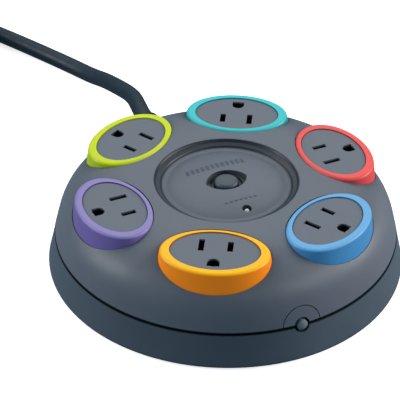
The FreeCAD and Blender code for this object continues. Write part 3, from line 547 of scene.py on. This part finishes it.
# Pieces of the CAD that stay, with their finishes ------------------------------------------------

for row in frame["record"]["subparts"]:
    part = nodes[row["node"]]
    part.data.materials.clear()
    part.data.materials.append(LOOKS[row["material_slot"]])
nodes["base_tray"].data.materials[0] = LOOKS["tray"]
nodes["reset_button"].data.materials[0] = LOOKS["reset"]

# The return spring gets a mesh of its own.
spring = nodes["button_spring"]
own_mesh(spring)

# Plain relief in the dish -------------------------------------------------------------------------

MARK_RISE = 0.16 * MM
MARK_SINK = 0.4 * MM
BAR_CORNERS = 24
BAR_CHAMFER = 0.25

cover_mesh = nodes["top_cover"].data
cover_tree = BVHTree.FromPolygons([vertex.co for vertex in cover_mesh.vertices],
                                  [polygon.vertices for polygon in cover_mesh.polygons])


def surface_height(x, y):
    """Height of the top cover's outer surface over a point of the floor."""
    return cover_tree.ray_cast(Vector((x, y, 2 * cad_high.z)), Vector((0, 0, -1)))[0].z


def rounded_bar(mesh, centre_x, centre_y, half_x, half_y, lean):
    """A low bar with round ends that follows the dish, its top edge softened."""
    rims = []
    reach = min(half_x, half_y)
    for inset, rise in ((0.0, -MARK_SINK), (0.0, MARK_RISE * 0.5), (BAR_CHAMFER, MARK_RISE)):
        rim = []
        for i in range(BAR_CORNERS):
            angle = math.tau * i / BAR_CORNERS
            grow = reach * (1 - inset)
            x = math.copysign(half_x - reach, math.cos(angle)) + grow * math.cos(angle)
            y = math.copysign(half_y - reach, math.sin(angle)) + grow * math.sin(angle)
            place_x, place_y = centre_x + x + lean * y, centre_y + y
            rim.append(mesh.verts.new((place_x, place_y, surface_height(place_x, place_y) + rise)))
        rims.append(rim)
    for low_rim, high_rim in zip(rims, rims[1:]):
        for i in range(BAR_CORNERS):
            j = (i + 1) % BAR_CORNERS
            mesh.faces.new((low_rim[i], low_rim[j], high_rim[j], high_rim[i]))
    mesh.faces.new(rims[-1])
    mesh.faces.new(list(reversed(rims[0])))


def relief_piece(name, bars, look):
    """One piece of several bars, each given as rounded_bar takes it."""
    mesh = bmesh.new()
    for bar in bars:
        rounded_bar(mesh, *bar)
    data = bpy.data.meshes.new(name)
    mesh.to_mesh(data)
    mesh.free()
    for polygon in data.polygons:
        polygon.use_smooth = True
    data.materials.append(look)
    piece = bpy.data.objects.new(name, data)
    scene.collection.objects.link(piece)
    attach(piece, "casing")


def row_of_bars(count, pitch, y, half_x, half_y, lean=0.0):
    """Equal bars side by side along X, about the middle, from sizes in millimetres."""
    first = -pitch * (count - 1) / 2
    return [((first + pitch * i) * MM, y * MM, half_x * MM, half_y * MM, lean) for i in range(count)]


mark_look = moulded("mark_plastic", (0.075, 0.092, 0.115), 0.5, corner_shade=0.1)
relief_piece("dish_grip_bars", row_of_bars(12, 2.5, 12.7, 0.62, 1.9, lean=0.12), mark_look)
relief_piece("dish_dashes", row_of_bars(7, 2.4, -15.6, 0.75, 0.42), mark_look)

# Floor and light ---------------------------------------------------------------------------------

FLOOR_HALF = 3.0
FLOOR_GLOW = 0.75
WORLD_COLOUR = (0.47, 0.75, 1.0)
WORLD_STRENGTH = 0.27
LIGHT_TARGET = Vector((0.0, 0.0, 0.03))
# name: place and size in metres, watts, colour
LIGHTS = {
    "back_bank": ((0.0, 1.0, 1.0), (2.4, 0.7), 8.8, (1.0, 0.97, 0.95)),
    "left_box": ((-1.1, 0.45, 0.55), (0.5, 0.7), 8.3, (1.0, 1.0, 1.0)),
    "right_box": ((1.1, -0.3, 0.55), (0.5, 0.7), 12.5, (1.0, 0.93, 0.88)),
    "right_front_box": ((0.62, -0.9, 0.75), (0.4, 0.5), 3.1, (1.0, 1.0, 1.0)),
}


def make_floor():
    """A pale floor that glows evenly; it doesn't light the object or show in its reflections."""
    mesh = bpy.data.meshes.new("floor")
    corners = [(x * FLOOR_HALF, y * FLOOR_HALF, 0) for x, y in ((-1, -1), (1, -1), (1, 1), (-1, 1))]
    mesh.from_pydata(corners, [], [(0, 1, 2, 3)])
    floor = bpy.data.objects.new("floor", mesh)
    scene.collection.objects.link(floor)
    look = Look("floor")
    tint = look.mix(look.noise(3.0), plain(0.90, 0.90, 0.90), plain(0.93, 0.93, 0.93))
    look.shader.inputs["Emission Color"].default_value = plain(1.0, 1.0, 1.0)
    look.shader.inputs["Emission Strength"].default_value = FLOOR_GLOW
    look.shader.inputs["Roughness"].default_value = 0.7
    mesh.materials.append(look.finish(Base_Color=tint))
    floor.visible_diffuse = False
    floor.visible_glossy = False


def make_world():
    """A dim bluish surround."""
    world = bpy.data.worlds.new("world")
    world.use_nodes = True
    background = world.node_tree.nodes["Background"]
    background.inputs["Color"].default_value = plain(*WORLD_COLOUR)
    background.inputs["Strength"].default_value = WORLD_STRENGTH
    scene.world = world


def make_light(name, place, size, power, colour):
    """A soft box aimed at the object."""
    data = bpy.data.lights.new(name, "AREA")
    data.shape = "RECTANGLE"
    data.size, data.size_y = size
    data.energy = power
    data.color = colour
    light = bpy.data.objects.new(name, data)
    light.location = place
    light.rotation_euler = (LIGHT_TARGET - Vector(place)).to_track_quat("-Z", "Y").to_euler()
    scene.collection.objects.link(light)


make_floor()
make_world()
for light_name, settings in LIGHTS.items():
    make_light(light_name, *settings)
scene.view_settings.view_transform = "Standard"
